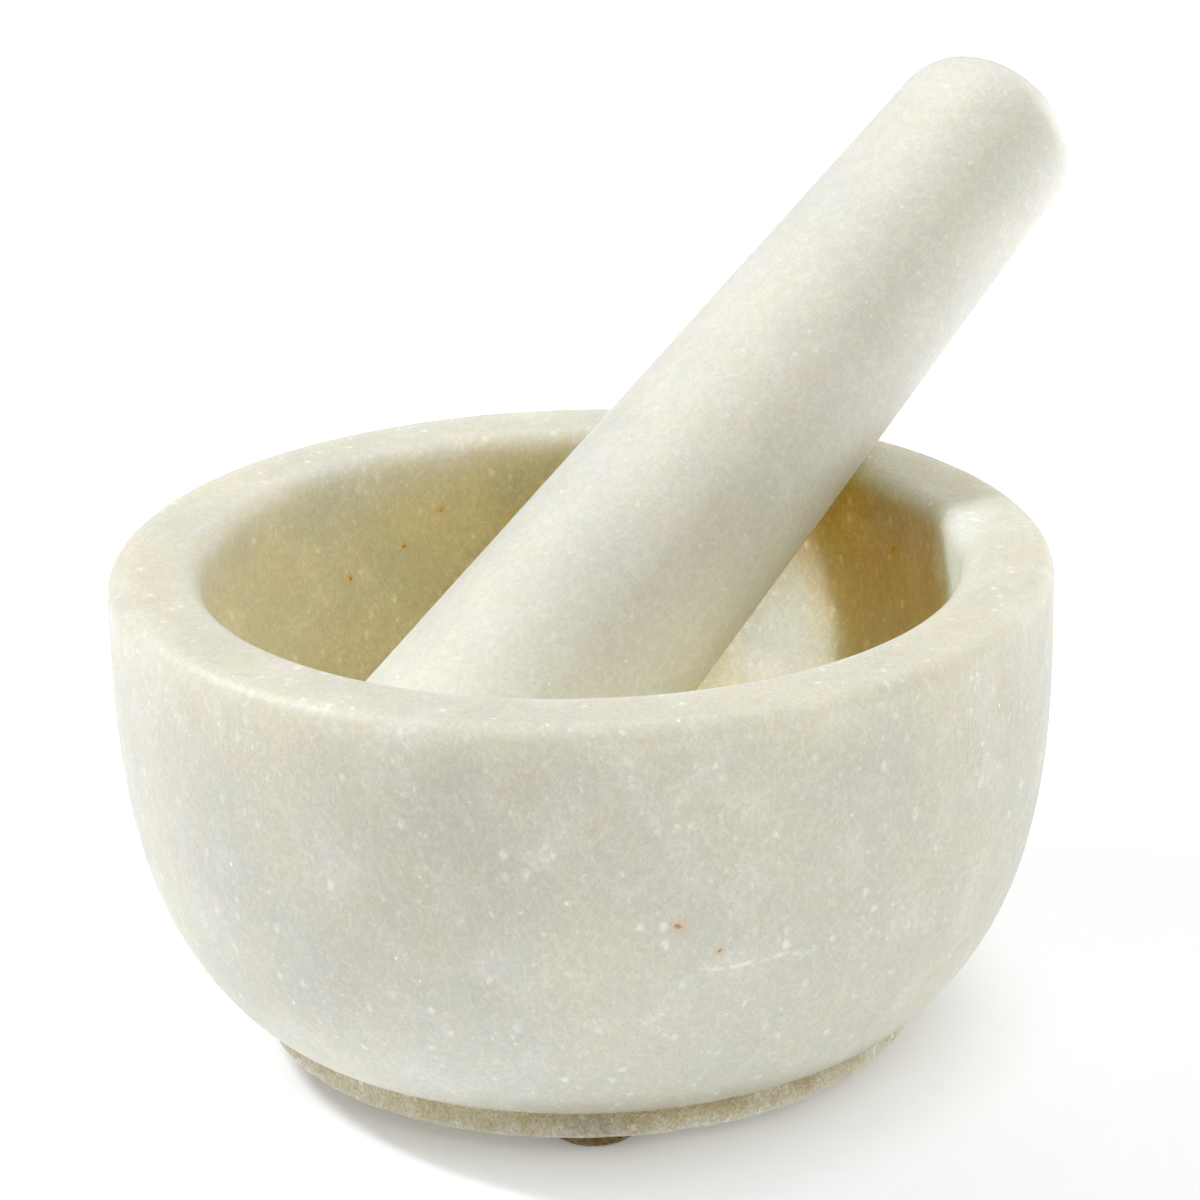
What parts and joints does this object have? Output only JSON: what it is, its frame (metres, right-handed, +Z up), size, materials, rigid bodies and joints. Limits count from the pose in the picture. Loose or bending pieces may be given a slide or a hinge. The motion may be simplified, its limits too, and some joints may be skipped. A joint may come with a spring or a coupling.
{
  "type": "mortar and pestle",
  "caption": "White marble mortar and pestle: a thick-walled round bowl on a low foot ring with clear bumpers, and a tapered pestle leaning over the rim.",
  "frame": {"origin": "on the bowl's turning axis, at the plane that the four bumpers stand on", "axes": "+Z up along the bowl's turning axis; +X the way that the resting pestle leans; front is -Y"},
  "size_m": [0.1874, 0.146, 0.1357],
  "materials": {
    "bowl_marble": "honed",
    "pestle_marble": "satin",
    "bumper_polyurethane": "clear amber",
    "adhesive_film": "matt"
  },
  "bodies": {
    "mortar": {"mortar_bowl": "bowl_marble", "bumper_front_left": "bumper_polyurethane", "bumper_front_right": "bumper_polyurethane", "bumper_rear_right": "bumper_polyurethane", "bumper_rear_left": "bumper_polyurethane", "adhesive_disc_front_left": "adhesive_film", "adhesive_disc_front_right": "adhesive_film", "adhesive_disc_rear_right": "adhesive_film", "adhesive_disc_rear_left": "adhesive_film"},
    "pestle": {"pestle": "pestle_marble"}
  },
  "joints": [
    {"name": "pestle_lift", "type": "slide", "parent": "mortar", "child": "pestle", "axis": [0, 0, 1], "range_m": [0, 0.1]}
  ]
}
